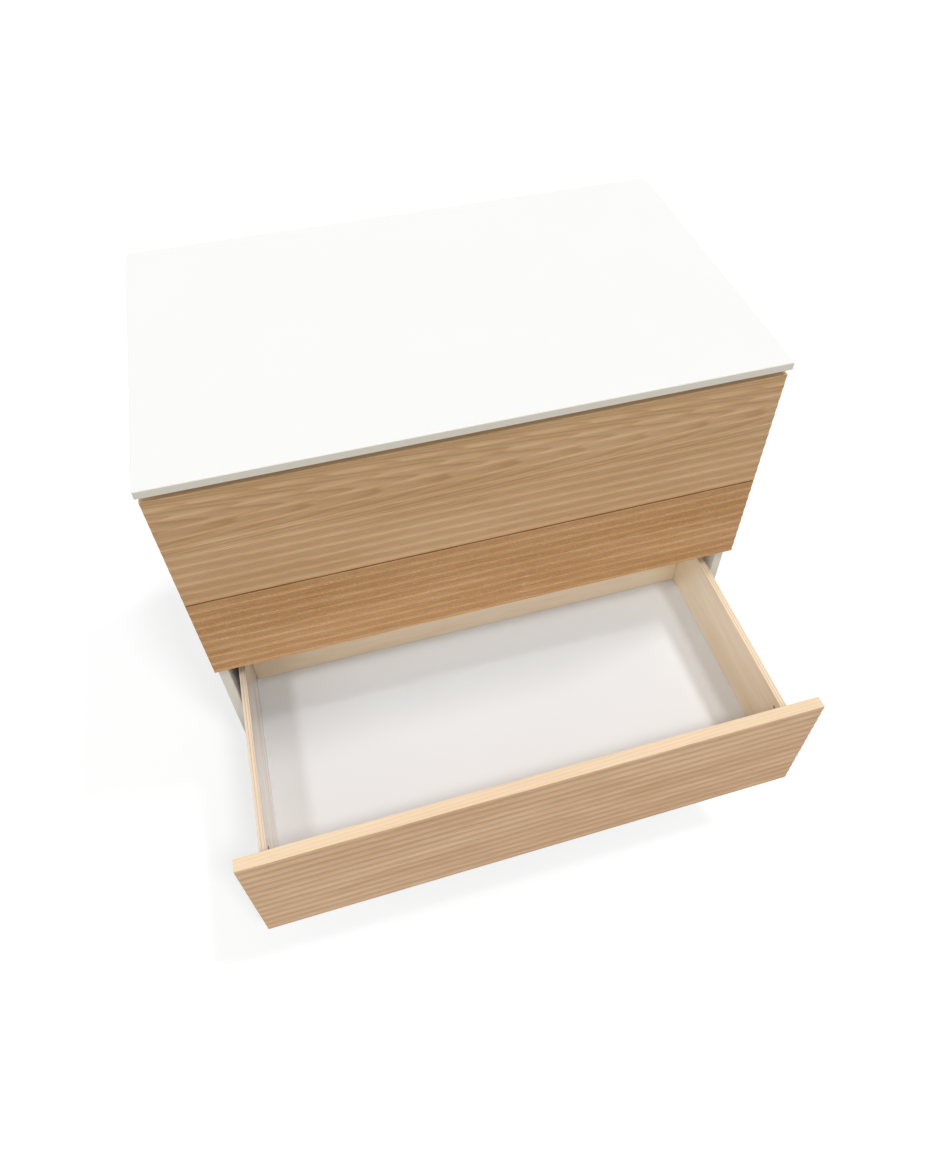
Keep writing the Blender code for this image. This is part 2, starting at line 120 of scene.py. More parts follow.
def linear(hex_colour: str) -> Colour:
    """Turn an sRGB hex colour into linear light.

    Args:
        hex_colour: Colour such as "#D4AC82".

    Returns:
        Linear red, green, blue and an alpha of 1.
    """
    parts = [int(hex_colour[start:start + 2], 16) / 255 for start in (1, 3, 5)]
    light = [p / 12.92 if p <= 0.04045 else ((p + 0.055) / 1.055) ** 2.4 for p in parts]
    return (*light, 1.0)


def wire(tree: bpy.types.NodeTree, node: bpy.types.Node, inputs: dict[str | int, Any]) -> None:
    """Set or link the inputs of a node.

    Args:
        tree: Node tree that holds the node.
        node: Node that takes the inputs.
        inputs: Values, output sockets or nodes by the name or place of the input. A node stands
            for its first output.
    """
    for name, value in inputs.items():
        if isinstance(value, bpy.types.Node):
            value = value.outputs[0]
        if isinstance(value, bpy.types.NodeSocket):
            tree.links.new(value, node.inputs[name])
        else:
            node.inputs[name].default_value = value


def add_node(
    tree: bpy.types.NodeTree, kind: str, inputs: dict[str | int, Any] | None = None,
    stops: Sequence[tuple[float, Colour]] = (), **settings: Any,
) -> bpy.types.Node:
    """Add one node with its settings and links.

    Args:
        tree: Node tree that takes the node.
        kind: Blender's name of the node type.
        inputs: Inputs of the node, as wire() takes them.
        stops: Place and colour of each stop, where the node is a colour ramp.
        settings: Properties of the node.

    Returns:
        The new node.
    """
    node = tree.nodes.new(kind)
    for name, value in settings.items():
        setattr(node, name, value)
    for index, (place, colour) in enumerate(stops):
        elements = node.color_ramp.elements
        stop = elements[index] if index < len(elements) else elements.new(place)
        stop.position = place
        stop.color = colour
    wire(tree, node, inputs or {})
    return node


def new_material(name: str) -> tuple[bpy.types.Material, bpy.types.Node]:
    """Start a material.

    Args:
        name: Name of the material.

    Returns:
        The material and its Principled shader.
    """
    material = bpy.data.materials.new(name)
    material.use_nodes = True
    return material, material.node_tree.nodes["Principled BSDF"]


def new_piece(
    name: str, mesh: bpy.types.Mesh, body: str, stands_for: Sequence[str] = (),
) -> None:
    """Put a finished mesh into the scene as a piece of the chest.

    Args:
        name: Name of the piece.
        mesh: Mesh that already lies in its place.
        body: CAD body that the piece moves with.
        stands_for: CAD nodes that the piece is shown in place of.
    """
    piece = bpy.data.objects.new(name, mesh)
    bpy.context.scene.collection.objects.link(piece)
    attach(piece, body)
    if stands_for:
        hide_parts(*stands_for)
    LOG.info("%s: %d faces on %s", name, len(mesh.polygons), body)


def dress_nodes(material: bpy.types.Material, *nodes: str) -> None:
    """Give CAD nodes a finish.

    Args:
        material: The finish.
        nodes: Names of the nodes.
    """
    for node in nodes:
        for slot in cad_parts[node].material_slots:
            slot.material = material
        LOG.info("%s: %s", node, material.name)


def new_tree(name: str, inputs: dict[str, str]) -> tuple[bpy.types.NodeTree, bpy.types.Node]:
    """Start a geometry node tree with named inputs.

    Args:
        name: Name of the tree.
        inputs: Kind of socket by the input's name.

    Returns:
        The tree and its input node.
    """
    tree = bpy.data.node_groups.new(name, "GeometryNodeTree")
    tree.interface.new_socket("Geometry", in_out="INPUT", socket_type="NodeSocketGeometry")
    for label, kind in inputs.items():
        tree.interface.new_socket(label, in_out="INPUT", socket_type=f"NodeSocket{kind}")
    tree.interface.new_socket("Geometry", in_out="OUTPUT", socket_type="NodeSocketGeometry")
    return tree, add_node(tree, "NodeGroupInput")


def run_tree(
    tree: bpy.types.NodeTree, source: bpy.types.Mesh, values: dict[str, Any], arris: float = 0.0,
) -> bpy.types.Mesh:
    """Run a geometry node tree once and keep its result as a plain mesh.

    Args:
        tree: Geometry node tree.
        source: Mesh that the tree starts from.
        values: Input values by the input's name.
        arris: Width of the chamfer on the square edges of the result.

    Returns:
        The resulting mesh, smooth apart from its real edges.
    """
    carrier = bpy.data.objects.new("carrier", source)
    modifier = carrier.modifiers.new("tree", "NODES")
    modifier.node_group = tree
    sockets = {item.name: item.identifier for item in tree.interface.items_tree}
    for name, value in values.items():
        modifier[sockets[name]] = value
    if arris:
        bevel = carrier.modifiers.new("arris", "BEVEL")
        bevel.width = arris
        bevel.segments = 1
        bevel.limit_method = "ANGLE"
        bevel.angle_limit = CORNER_ANGLE
    bpy.context.scene.collection.objects.link(carrier)
    graph = bpy.context.evaluated_depsgraph_get()
    mesh = bpy.data.meshes.new_from_object(carrier.evaluated_get(graph), depsgraph=graph)
    mesh.shade_smooth()
    mesh.set_sharp_from_angle(angle=SHARP_ANGLE)
    carrier.modifiers.clear()
    bpy.data.objects.remove(carrier)
    return mesh


@dataclass(frozen=True)
class SprayedBoard:
    """White coat on board: sprayed lacquer, or melamine with its printed pearl.

    The coat shows as a nearly flat white whose sheen breaks up in a fine orange peel. Faces that
    look forward are painted a little duller and warmer: painted warm shade. The peel is drawn
    coarser than in life, so that it shows.
    """

    name: str
    colour: str
    shade: str
    painted_edge_shade: str
    roughness: float
    peel_mm: float
    peel_depth_mm: float
    peel_strength: float = 0.6
    sheen_change: float = 0.04
    cloud_mm: float = 180.0

    def make(self) -> bpy.types.Material:
        """Make the coat.

        Returns:
            The material.
        """
        material, shader = new_material(self.name)
        tree = material.node_tree
        axes = add_node(tree, "ShaderNodeTexCoord").outputs
        cloud = add_node(tree, "ShaderNodeTexNoise", {
            "Vector": axes["Object"], "Scale": 1 / (self.cloud_mm * MM), "Detail": 2.0,
        })
        facing = add_node(tree, "ShaderNodeSeparateXYZ", {0: axes["Normal"]})
        forward = add_node(tree, "ShaderNodeMath", {
            0: facing.outputs["Y"], 1: -FACING,
        }, operation="LESS_THAN")
        # Painted warm shade: faces that look forward take the duller, warmer edge colour
        coat = linear(self.colour)
        for share, over in ((cloud, self.shade), (forward, self.painted_edge_shade)):
            coat = add_node(tree, "ShaderNodeMix", {
                0: share, MIX_A: coat, MIX_B: linear(over),
            }, data_type="RGBA").outputs[MIX_RESULT]
        peel = add_node(tree, "ShaderNodeTexNoise", {
            "Vector": axes["Object"], "Scale": 1 / (self.peel_mm * MM), "Detail": 1.0,
        })
        sheen = add_node(tree, "ShaderNodeMapRange", {
            0: peel,
            TO_MIN: self.roughness - self.sheen_change, TO_MAX: self.roughness + self.sheen_change,
        })
        bump = add_node(tree, "ShaderNodeBump", {
            "Height": peel, "Distance": self.peel_depth_mm * MM, "Strength": self.peel_strength,
        })
        wire(tree, shader, {"Base Color": coat, "Roughness": sheen, "Normal": bump})
        return material


@dataclass(frozen=True)
class BirchPlywood:
    """Birch plywood, clear coated: pale face veneer, and layers that show as lines on its edges.

    The layers are counted from the board's first face, so each place of a board has its own
    material. The inner face may have grey-brown streaks of heartwood. The fibres are drawn coarser
    than in life, so that they show.
    """

    name: str
    across: Axis
    first_face: float
    thickness: float
    face: str = "#FEECCF"
    flame: str = "#F3DAB4"
    core: str = "#EAD1B0"
    glue: str = "#B3906A"
    heartwood: str = "#948070"
    streak: float = 0.0
    layers: int = 5
    layer_margin: float = 0.02
    skin: float = 0.2
    glue_line: float = 0.10
    fibre_mm: float = 1.6
    fibre_length_mm: float = 60.0
    flame_mm: float = 28.0
    flame_length_mm: float = 260.0
    flame_share: float = 0.6
    flame_span: Pair = (0.36, 0.66)
    streak_mm: float = 8.0
    streak_length_mm: float = 420.0
    streak_span: Pair = (0.57, 0.62)
    roughness: Pair = (0.30, 0.45)
    coat_roughness: float = 0.12
    fibre_depth_mm: float = 0.08

    def make(self) -> bpy.types.Material:
        """Make the plywood of one board.

        Returns:
            The material.
        """
        material, shader = new_material(self.name)
        tree = material.node_tree
        axes = add_node(tree, "ShaderNodeTexCoord").outputs
        place = add_node(tree, "ShaderNodeSeparateXYZ", {0: axes["Object"]})
        layer = add_node(tree, "ShaderNodeMapRange", {
            0: place.outputs[self.across.value],
            FROM_MIN: self.first_face, FROM_MAX: self.first_face + self.thickness,
            TO_MIN: self.layer_margin, TO_MAX: self.layers - self.layer_margin,
        })
        crosswise = add_node(tree, "ShaderNodeMath", {
            0: add_node(tree, "ShaderNodeMath", {0: layer}, operation="FLOOR"), 1: 2.0,
        }, operation="MODULO")

        # Every second seam shows its glue, and none lies at the faces
        seam = add_node(tree, "ShaderNodeMath", {0: layer, 1: 1.0}, operation="PINGPONG")
        half = self.layers / 2
        from_middle = add_node(tree, "ShaderNodeMath", {
            0: add_node(tree, "ShaderNodeMath", {0: layer, 1: half}, operation="SUBTRACT"),
        }, operation="ABSOLUTE")
        at_seam, inside = (
            add_node(tree, "ShaderNodeMath", {0: way, 1: limit}, operation="LESS_THAN")
            for way, limit in ((seam, self.glue_line), (from_middle, half - self.skin))
        )
        glued = add_node(tree, "ShaderNodeMath", {0: at_seam, 1: inside}, operation="MULTIPLY")

        # Three noises, each drawn out along the board
        noises = []
        for length_mm, width_mm, grade in (
            (self.fibre_length_mm, self.fibre_mm, {"Detail": 3.0}),
            (self.flame_length_mm, self.flame_mm, {"Detail": 2.0, "Distortion": 0.8}),
            (self.streak_length_mm, self.streak_mm, {"Detail": 1.0}),
        ):
            size = [width_mm * MM] * 3
            size[1 - self.across.value] = length_mm * MM
            drawn_out = add_node(tree, "ShaderNodeMapping", {
                "Vector": axes["Object"], "Scale": size,
            }, vector_type="TEXTURE")
            noises.append(add_node(tree, "ShaderNodeTexNoise", {
                "Vector": drawn_out, "Scale": 1.0, **grade,
            }))
        fibres, flames, streaks = noises
        figure = add_node(tree, "ShaderNodeMath", {
            0: add_node(tree, "ShaderNodeMath", {0: flames, 1: self.flame_share}, operation="MULTIPLY"),
            1: add_node(tree, "ShaderNodeMath", {0: fibres, 1: 1 - self.flame_share}, operation="MULTIPLY"),
        }, operation="ADD")
        veneer = add_node(tree, "ShaderNodeValToRGB", {0: figure}, stops=(
            (self.flame_span[0], linear(self.face)), (self.flame_span[1], linear(self.flame)),
        ))

        # Streaks lie on the inner face only
        facing = add_node(tree, "ShaderNodeSeparateXYZ", {0: axes["Normal"]})
        inward = add_node(tree, "ShaderNodeMath", {
            0: facing.outputs[self.across.value], 1: FACING,
        }, operation="GREATER_THAN")
        streak = add_node(tree, "ShaderNodeMapRange", {
            0: streaks, FROM_MIN: self.streak_span[0], FROM_MAX: self.streak_span[1], TO_MAX: self.streak,
        })
        streaked = add_node(tree, "ShaderNodeMath", {0: streak, 1: inward}, operation="MULTIPLY")
        colour = veneer.outputs[0]
        for share, over in ((streaked, self.heartwood), (crosswise, self.core), (glued, self.glue)):
            colour = add_node(tree, "ShaderNodeMix", {
                0: share, MIX_A: colour, MIX_B: linear(over),
            }, data_type="RGBA").outputs[MIX_RESULT]
        sheen = add_node(tree, "ShaderNodeMapRange", {
            0: fibres, TO_MIN: self.roughness[0], TO_MAX: self.roughness[1],
        })
        bump = add_node(tree, "ShaderNodeBump", {
            "Height": fibres, "Distance": self.fibre_depth_mm * MM, "Strength": RELIEF,
        })
        wire(tree, shader, {
            "Base Color": colour, "Roughness": sheen, "Normal": bump,
            "Coat Weight": 1.0, "Coat Roughness": self.coat_roughness,
        })
        return material


@dataclass(frozen=True)
class OiledHardwood:
    """Solid hardwood, oiled: growth rings cut through by the tool, with fine fibres along the grain.

    The rings are cylinders round the log's heart line, so a rippled cut shows them as tongues on
    the crests where the cut runs along them, and as fine lines elsewhere. The undersides of the
    ripples are painted a little darker and their upward flanks paler: painted shade and light. The
    top edge and the rear have tones of their own; the middle front's top edge tone is painted shade
    of the joint above it. Flecks are rays of the wood that the cutter leaves split and pale. The
    fibres are drawn coarser than in life, so that they show.
    """

    name: str
    early: str
    late: str
    sawn_tone_and_gap_shade: str
    rear: str
    heart: Point
    lean_deg: Point
    ring_mm: float
    waver: float
    # Painted shade: how much darker a ripple's underside is drawn than its pale upward flank
    painted_underside_shade: float = 0.04
    fleck: float = 0.0
    fleck_colour: str = "#F3D6AC"
    fleck_mm: float = 1.6
    fleck_length_mm: float = 5.0
    fleck_span: Pair = (0.60, 0.72)
    fibre_mm: float = 2.2
    fibre_length_mm: float = 55.0
    fibre_tone: float = 0.32
    fibre_depth_mm: float = 0.10
    cloud_mm: float = 50.0
    cloud_length_mm: float = 320.0
    cloud_tone: float = 0.25
    stretch: float = 14.0
    ring_tone: Pair = (0.20, 0.90)
    ring_course: tuple[Pair, ...] = ((0.0, 0.0), (0.45, 0.12), (0.90, 1.0), (1.0, 0.1))
    edge_share: float = 0.65
    roughness: Pair = (0.58, 0.72)
    specular: float = 0.25

    def make(self) -> bpy.types.Material:
        """Make the wood.

        Returns:
            The material.
        """
        material, shader = new_material(self.name)
        tree = material.node_tree
        axes = add_node(tree, "ShaderNodeTexCoord").outputs
        log = add_node(tree, "ShaderNodeMapping", {
            "Vector": axes["Object"], "Location": self.heart,
            "Rotation": [math.radians(angle) for angle in self.lean_deg], "Scale": (self.stretch, 1.0, 1.0),
        }, vector_type="TEXTURE")
        rings = add_node(tree, "ShaderNodeTexWave", {
            "Vector": log, "Scale": WAVE_LENGTH / (self.ring_mm * MM), "Distortion": self.waver,
            "Detail": 2.0, "Detail Scale": 0.35, "Detail Roughness": 0.55,
        }, wave_type="RINGS", rings_direction="X", wave_profile="SAW")
        growth = add_node(tree, "ShaderNodeValToRGB", {0: rings}, stops=[
            (place, (tone, tone, tone, 1.0)) for place, tone in self.ring_course
        ])

        # Three noises, each drawn out along the grain
        noises = []
        for length_mm, width_mm, grade in (
            (self.fibre_length_mm, self.fibre_mm, {"Detail": 3.0, "Roughness": 0.6}),
            (self.cloud_length_mm, self.cloud_mm, {"Detail": 2.0}),
            (self.fleck_length_mm, self.fleck_mm, {"Detail": 1.0}),
        ):
            drawn_out = add_node(tree, "ShaderNodeMapping", {
                "Vector": axes["Object"], "Scale": (length_mm * MM, width_mm * MM, width_mm * MM),
            }, vector_type="TEXTURE")
            noises.append(add_node(tree, "ShaderNodeTexNoise", {
                "Vector": drawn_out, "Scale": 1.0, **grade,
            }))
        fibres, clouds, flecks = noises
        darkness = add_node(tree, "ShaderNodeMapRange", {
            0: growth, TO_MIN: self.ring_tone[0], TO_MAX: self.ring_tone[1],
        })
        for noise, tone in ((fibres, self.fibre_tone), (clouds, self.cloud_tone)):
            part = add_node(tree, "ShaderNodeMapRange", {
                0: noise, FROM_MIN: NOISE_SPAN[0], FROM_MAX: NOISE_SPAN[1], TO_MIN: -tone, TO_MAX: tone,
            })
            darkness = add_node(tree, "ShaderNodeMath", {0: darkness, 1: part}, operation="ADD")
        flecked = add_node(tree, "ShaderNodeMapRange", {
            0: flecks, FROM_MIN: self.fleck_span[0], FROM_MAX: self.fleck_span[1], TO_MAX: self.fleck,
        })
        colour = linear(self.early)
        for share, over in ((darkness, self.late), (flecked, self.fleck_colour)):
            colour = add_node(tree, "ShaderNodeMix", {
                0: share, MIX_A: colour, MIX_B: linear(over),
            }, data_type="RGBA").outputs[MIX_RESULT]

        # The fronts bring two attributes: how much painted shade a place takes on a ripple's underside,
        # and which faces belong to the ripples
        painted_shade_share, ripple_face = (
            add_node(tree, "ShaderNodeAttribute", attribute_name=name).outputs["Fac"]
            for name in ("painted_shade_share", "ripple_face")
        )
        shade = add_node(tree, "ShaderNodeMapRange", {
            0: painted_shade_share, TO_MIN: 1.0, TO_MAX: 1.0 - self.painted_underside_shade,
        })
        colour = add_node(tree, "ShaderNodeMix", {
            0: 1.0, MIX_A: colour, MIX_B: shade,
        }, data_type="RGBA", blend_type="MULTIPLY").outputs[MIX_RESULT]
        facing = add_node(tree, "ShaderNodeSeparateXYZ", {0: axes["Normal"]})
        upward, backward = (
            add_node(tree, "ShaderNodeMath", {0: facing.outputs[axis], 1: FACING}, operation="GREATER_THAN")
            for axis in ("Z", "Y")
        )
        top_edge = add_node(tree, "ShaderNodeMath", {
            0: upward, 1: ripple_face,
        }, operation="SUBTRACT", use_clamp=True)
        # Top edge tone; on the middle front it is painted shade of the joint above it
        for part, over in ((top_edge, self.sawn_tone_and_gap_shade), (backward, self.rear)):
            share = add_node(tree, "ShaderNodeMath", {0: part, 1: self.edge_share}, operation="MULTIPLY")
            colour = add_node(tree, "ShaderNodeMix", {
                0: share, MIX_A: colour, MIX_B: linear(over),
            }, data_type="RGBA").outputs[MIX_RESULT]
        sheen = add_node(tree, "ShaderNodeMapRange", {
            0: fibres, FROM_MIN: NOISE_SPAN[0], FROM_MAX: NOISE_SPAN[1],
            TO_MIN: self.roughness[0], TO_MAX: self.roughness[1],
        })
        relief = add_node(tree, "ShaderNodeMath", {0: growth, 1: fibres}, operation="ADD")
        bump = add_node(tree, "ShaderNodeBump", {
            "Height": relief, "Distance": self.fibre_depth_mm * MM, "Strength": RELIEF,
        })
        wire(tree, shader, {
            "Base Color": colour, "Roughness": sheen, "Normal": bump, "Specular IOR Level": self.specular,
        })
        return material


@dataclass(frozen=True)
class PlatedSteel:
    """Cold-rolled steel with a thin coat: a soft metal sheen with faint rolling lines along Y.

    The lines are drawn coarser than in life, so that they show.
    """

    name: str
    colour: str
    dull: str
    roughness: float
    sheen_change: float = 0.06
    line_mm: float = 1.2
    line_length_mm: float = 80.0

    def make(self) -> bpy.types.Material:
        """Make the steel.

        Returns:
            The material.
        """
        material, shader = new_material(self.name)
        tree = material.node_tree
        drawn_out = add_node(tree, "ShaderNodeMapping", {
            "Vector": add_node(tree, "ShaderNodeTexCoord").outputs["Object"],
            "Scale": (self.line_mm * MM, self.line_length_mm * MM, self.line_mm * MM),
        }, vector_type="TEXTURE")
        lines = add_node(tree, "ShaderNodeTexNoise", {"Vector": drawn_out, "Scale": 1.0, "Detail": 2.0})
        tint = add_node(tree, "ShaderNodeMix", {
            0: lines, MIX_A: linear(self.colour), MIX_B: linear(self.dull),
        }, data_type="RGBA")
        sheen = add_node(tree, "ShaderNodeMapRange", {
            0: lines,
            TO_MIN: self.roughness - self.sheen_change, TO_MAX: self.roughness + self.sheen_change,
        })
        wire(tree, shader, {"Base Color": tint.outputs[MIX_RESULT], "Roughness": sheen, "Metallic": 1.0})
        return material


@dataclass(frozen=True)
class MouldedNylon:
    """Moulded nylon: an even dark plastic with the fine grain of its mould."""

    name: str
    colour: str
    roughness: Pair = (0.50, 0.65)
    grain_mm: float = 0.6
    grain_depth_mm: float = 0.03

    def make(self) -> bpy.types.Material:
        """Make the nylon.

        Returns:
            The material.
        """
        material, shader = new_material(self.name)
        tree = material.node_tree
        grain = add_node(tree, "ShaderNodeTexNoise", {
            "Vector": add_node(tree, "ShaderNodeTexCoord").outputs["Object"],
            "Scale": 1 / (self.grain_mm * MM),
        })
        sheen = add_node(tree, "ShaderNodeMapRange", {
            0: grain, TO_MIN: self.roughness[0], TO_MAX: self.roughness[1],
        })
        bump = add_node(tree, "ShaderNodeBump", {
            "Height": grain, "Distance": self.grain_depth_mm * MM, "Strength": RELIEF,
        })
        wire(tree, shader, {"Base Color": linear(self.colour), "Roughness": sheen, "Normal": bump})
        return material


# Satin white case: even and calm; its front-facing edges are painted slightly duller and warmer
# as painted warm shade
LACQUER = SprayedBoard("satin_lacquered_board", "#F4F4F2", "#F2F2F0", "#EEE9DC", 0.36, 3.0, 0.02)

# Drawer bottoms: a cooler, duller white than the case; forward faces take its darker tone as
# painted shade
MELAMINE = SprayedBoard("pearl_melamine", "#EBEEF1", "#E8EBEE", "#E8EBEE", 0.46, 1.6, 0.03)

# Slides, leg plates and screws: bright grey metal with a soft sheen
ZINC = PlatedSteel("zinc_plated_steel", "#C9CBCE", "#AFB2B6", 0.36)

# Barrel nuts: a darker, warmer and duller metal
DARK_STEEL = PlatedSteel("phosphated_steel", "#A39C94", "#857E77", 0.45)

# Glides: nearly black, with a dull sheen
NYLON = MouldedNylon("moulded_nylon", "#3A3836")

# Left sides of the boxes, cut from a greyer sheet with streaks
GREY_VENEER = {"face": "#F1E4D6", "flame": "#E2D2C0", "streak": 0.55}

# Legs: honey brown, with rings that run up the leg
LEG_WOOD = OiledHardwood(
    "oiled_turned_hardwood", early="#D9B48A", late="#B98C5E", sawn_tone_and_gap_shade="#D9B48A", rear="#D9B48A",
    heart=(0.30, 0.05, 0.10), lean_deg=(0.0, 88.0, 0.0), ring_mm=4.0, waver=1.2,
)

# Sandy wood with close rings, and tongues of figure near its top
UPPER_WOOD = OiledHardwood(
    "oiled_hardwood_upper", early="#E6C094", late="#CEA374", sawn_tone_and_gap_shade="#EBCBA0", rear="#F0D6B0",
    heart=(0.0, 0.040, 0.814), lean_deg=(0.0, 0.4, 1.2), ring_mm=2.2, waver=1.0, painted_underside_shade=0.075,
)

# Redder and darker wood with pale flecks on its crests; its top edge is painted dark as the shade
# in the joint above it
MIDDLE_WOOD = OiledHardwood(
    "oiled_hardwood_middle", early="#E2B484", late="#BE8B52", sawn_tone_and_gap_shade="#7E470C", rear="#E8C598",
    heart=(0.0, 0.10, 0.25), lean_deg=(0.0, 0.9, 0.8), ring_mm=3.0, waver=1.4, painted_underside_shade=0.10,
    fleck=0.5,
)

# Pale, slightly pink wood with a light top edge
LOWER_WOOD = OiledHardwood(
    "oiled_hardwood_lower", early="#F7D2AB", late="#D6A97E", sawn_tone_and_gap_shade="#F1DEC0", rear="#F8E4C8",
    heart=(0.0, -0.25, 0.72), lean_deg=(0.0, -0.7, 0.6), ring_mm=3.5, waver=1.2, painted_underside_shade=0.12,
)


@dataclass
class FastenerKit:
    """Makes groups of slotted fastener heads, each group one piece on one body.

    A slot is as long as the outer radius times its reach, and its cutter lies at a share of the
    head's height.
    """

    facets: int = 20
    slot_reach: float = 1.2
    slot_height: float = 0.9

    def __post_init__(self) -> None:
        """Build the tree that all groups share."""
        self.tree = self.head_tree()

    def head_tree(self) -> bpy.types.NodeTree:
        """Build the tree that sets a cross-slotted head on each point, facing its own way.

        Returns:
            The geometry node tree.
        """
        tree, given = new_tree("fastener_heads", {
            "Radius": "Float", "Outer Radius": "Float", "Height": "Float",
            "Slot": "Float", "Facets": "Int", "Finish": "Material",
        })
        sizes = given.outputs
        head = add_node(tree, "GeometryNodeMeshCone", {
            "Vertices": sizes["Facets"], "Radius Bottom": sizes["Radius"],
            "Radius Top": sizes["Outer Radius"], "Depth": sizes["Height"],
        })
        cut = add_node(tree, "GeometryNodeMeshBoolean", {
            "Mesh 1": head,
        }, operation="DIFFERENCE", solver="EXACT")
        length = add_node(tree, "ShaderNodeMath", {
            0: sizes["Outer Radius"], 1: self.slot_reach,
        }, operation="MULTIPLY")
        up = add_node(tree, "ShaderNodeMath", {
            0: sizes["Height"], 1: self.slot_height,
        }, operation="MULTIPLY")
        slot_place = add_node(tree, "ShaderNodeCombineXYZ", {2: up})
        for x, y in ((length, sizes["Slot"]), (sizes["Slot"], length)):
            size = add_node(tree, "ShaderNodeCombineXYZ", {0: x, 1: y, 2: sizes["Height"]})
            block = add_node(tree, "GeometryNodeMeshCube", {"Size": size})
            slot = add_node(tree, "GeometryNodeTransform", {"Geometry": block, "Translation": slot_place})
            wire(tree, cut, {"Mesh 2": slot})
        facing = add_node(tree, "GeometryNodeInputNamedAttribute", {
            "Name": "facing",
        }, data_type="FLOAT_VECTOR")
        turn = add_node(tree, "FunctionNodeAlignRotationToVector", {"Vector": facing}, axis="Z")
        placed = add_node(tree, "GeometryNodeInstanceOnPoints", {
            "Points": sizes["Geometry"], "Instance": cut, "Rotation": turn,
        })
        real = add_node(tree, "GeometryNodeRealizeInstances", {0: placed})
        dressed = add_node(tree, "GeometryNodeSetMaterial", {"Geometry": real, "Material": sizes["Finish"]})
        add_node(tree, "NodeGroupOutput", {0: dressed})
        return tree

    def place(
        self, name: str, head: Head, spots: Sequence[Spot], body: str, finish: bpy.types.Material,
    ) -> None:
        """Set one group of heads.

        Args:
            name: Name of the piece.
            head: Shape of the heads.
            spots: Place of each head on its board and the direction that it faces.
            body: CAD body that the group moves with.
            finish: Material of the heads.
        """
        radius, outer_radius, height, slot = head.value
        points = bpy.data.meshes.new(name)
        points.from_pydata([place for place, _ in spots], [], [])
        facing = points.attributes.new("facing", "FLOAT_VECTOR", "POINT")
        for item, (_, direction) in zip(facing.data, spots):
            item.vector = direction
        mesh = run_tree(self.tree, points, {
            "Radius": radius * MM, "Outer Radius": outer_radius * MM, "Height": height * MM,
            "Slot": slot * MM, "Facets": self.facets, "Finish": finish,
        })
        new_piece(name, mesh, body)


@dataclass(frozen=True)
class Cut:
    """How the ripples lie on one front.

    The first crest is measured down from the front's top. The valley is the share of a ripple from
    its crest down to its valley. The painted lit band is the cosine at which the painted pale upper
    flank has faded into the painted shade of the underside. The seed picks the small unevenness of
    the front.
    """

    first_crest: float
    valley: float
    painted_lit_band: float
    seed: float


